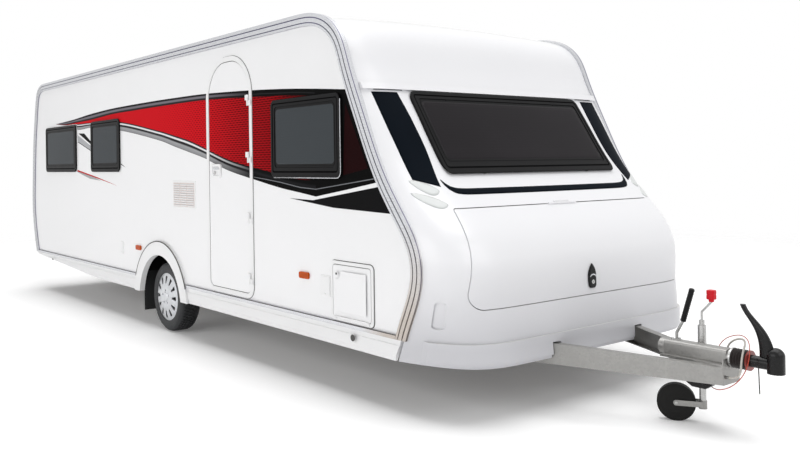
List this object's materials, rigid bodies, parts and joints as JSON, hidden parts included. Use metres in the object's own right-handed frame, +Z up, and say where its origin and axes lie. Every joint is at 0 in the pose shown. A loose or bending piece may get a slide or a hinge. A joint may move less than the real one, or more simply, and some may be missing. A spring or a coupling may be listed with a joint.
{
  "type": "travel caravan",
  "caption": "Single-axle travel caravan with a hollow body, hinged door, gas locker lid and service hatch, A-frame drawbar, ball coupling, jockey wheel and corner steadies.",
  "frame": {"origin": "centre of the footprint on the ground under the caravan", "axes": "+X forward towards the ball coupling, +Y to the left, +Z up; the entrance door is on the -Y side"},
  "size_m": [9.2168, 2.5433, 2.705],
  "materials": {
    "aluminium": "brushed edge profile",
    "black_plastic": "moulded black plastic",
    "blind": "grey pleated blind",
    "body_white": "smooth white sheet and moulding",
    "cable_grey": "pale cable sheath",
    "cable_red": "red coated wire rope",
    "floor_wood": "coated plywood sandwich",
    "galvanised": "hot-dip galvanised steel",
    "orange_lens": "orange lens",
    "pane": "grey tinted acrylic",
    "red_lens": "red lens",
    "rubber": "ribbed rubber",
    "tyre": "road tyre rubber",
    "wheel_silver": "silver lacquer",
    "window_dark": "dark moulded frame"
  },
  "bodies": {
    "caravan": {"axle_tube": "galvanised", "body_rails": "aluminium", "breakaway_cable": "cable_red", "chassis_rail_left": "galvanised", "chassis_rail_right": "galvanised", "coupling_handle": "black_plastic", "coupling_head": "black_plastic", "cross_members": "galvanised", "door_frame": "body_white", "drawshaft_bellows": "rubber", "electric_cable": "cable_grey", "floor": "floor_wood", "front_cap": "body_white", "front_moulding": "body_white", "front_window_panel": "body_white", "handbrake_lever": "galvanised", "hatch_frame": "body_white", "jockey_clamp": "black_plastic", "jockey_crank": "galvanised", "jockey_tube": "galvanised", "lid_hinge": "galvanised", "locker_bulkhead": "body_white", "mudflaps": "rubber", "overrun_housing": "galvanised", "rear_bumper": "body_white", "rear_lamps": "red_lens", "rear_wall": "body_white", "roof": "body_white", "rooflights": "body_white", "side_markers": "orange_lens", "side_wall_left": "body_white", "side_wall_right": "body_white", "skirt_left": "body_white", "skirt_right": "body_white", "steady_brackets": "galvanised", "swing_arms": "galvanised", "wall_vents": "body_white", "wheel_boxes": "black_plastic", "window_blinds": "blind", "window_frames": "window_dark", "window_panes": "pane"},
    "wheel_right": {"tyre_right": "tyre", "wheel_right": "wheel_silver"},
    "wheel_left": {"tyre_left": "tyre", "wheel_left": "wheel_silver"},
    "entrance_door": {"door_leaf": "body_white", "door_handle": "body_white"},
    "locker_lid": {"locker_lid": "body_white", "lid_handle": "black_plastic"},
    "service_hatch": {"service_hatch": "body_white"},
    "steady_rear_right": {"steady_rear_right": "galvanised"},
    "steady_rear_left": {"steady_rear_left": "galvanised"},
    "steady_front_right": {"steady_front_right": "galvanised"},
    "steady_front_left": {"steady_front_left": "galvanised"},
    "jockey_stem": {"jockey_stem": "galvanised"},
    "jockey_fork": {"jockey_fork": "galvanised"},
    "jockey_wheel": {"jockey_wheel": "rubber"}
  },
  "joints": [
    {"name": "wheel_right_spin", "type": "hinge", "parent": "caravan", "child": "wheel_right", "pos_m": [-0.6045, -1.0875, 0.325], "axis": [0, 1, 0], "continuous": true},
    {"name": "wheel_left_spin", "type": "hinge", "parent": "caravan", "child": "wheel_left", "pos_m": [-0.6045, 1.0875, 0.325], "axis": [0, 1, 0], "continuous": true},
    {"name": "door_hinge", "type": "hinge", "parent": "caravan", "child": "entrance_door", "pos_m": [1.0955, -1.2663, 1.477], "axis": [0, 0, 1], "range_deg": [0, 160]},
    {"name": "locker_lid_hinge", "type": "hinge", "parent": "caravan", "child": "locker_lid", "pos_m": [3.11942, 0, 1.278], "axis": [0, -1, 0], "range_deg": [0, 75]},
    {"name": "service_hatch_hinge", "type": "hinge", "parent": "caravan", "child": "service_hatch", "pos_m": [2.4055, -1.263, 0.538], "axis": [1, 0, 0], "range_deg": [0, 150]},
    {"name": "steady_rear_right_hinge", "type": "hinge", "parent": "caravan", "child": "steady_rear_right", "pos_m": [-3.8045, -0.985, 0.416], "axis": [0, 1, 0], "range_deg": [0, 65]},
    {"name": "steady_rear_left_hinge", "type": "hinge", "parent": "caravan", "child": "steady_rear_left", "pos_m": [-3.8045, 0.985, 0.416], "axis": [0, 1, 0], "range_deg": [0, 65]},
    {"name": "steady_front_right_hinge", "type": "hinge", "parent": "caravan", "child": "steady_front_right", "pos_m": [2.2355, -0.985, 0.416], "axis": [0, -1, 0], "range_deg": [0, 65]},
    {"name": "steady_front_left_hinge", "type": "hinge", "parent": "caravan", "child": "steady_front_left", "pos_m": [2.2355, 0.985, 0.416], "axis": [0, -1, 0], "range_deg": [0, 65]},
    {"name": "jockey_slide", "type": "slide", "parent": "caravan", "child": "jockey_stem", "axis": [0, 0, 1], "range_m": [-0.12, 0.02]},
    {"name": "jockey_swivel", "type": "hinge", "parent": "jockey_stem", "child": "jockey_fork", "pos_m": [4.0755, 0.086, 0.128], "axis": [0, 0, 1], "continuous": true},
    {"name": "jockey_wheel_spin", "type": "hinge", "parent": "jockey_fork", "child": "jockey_wheel", "pos_m": [3.94999, 0.00757, 0.11], "axis": [0.5299, -0.848, 0], "continuous": true}
  ]
}
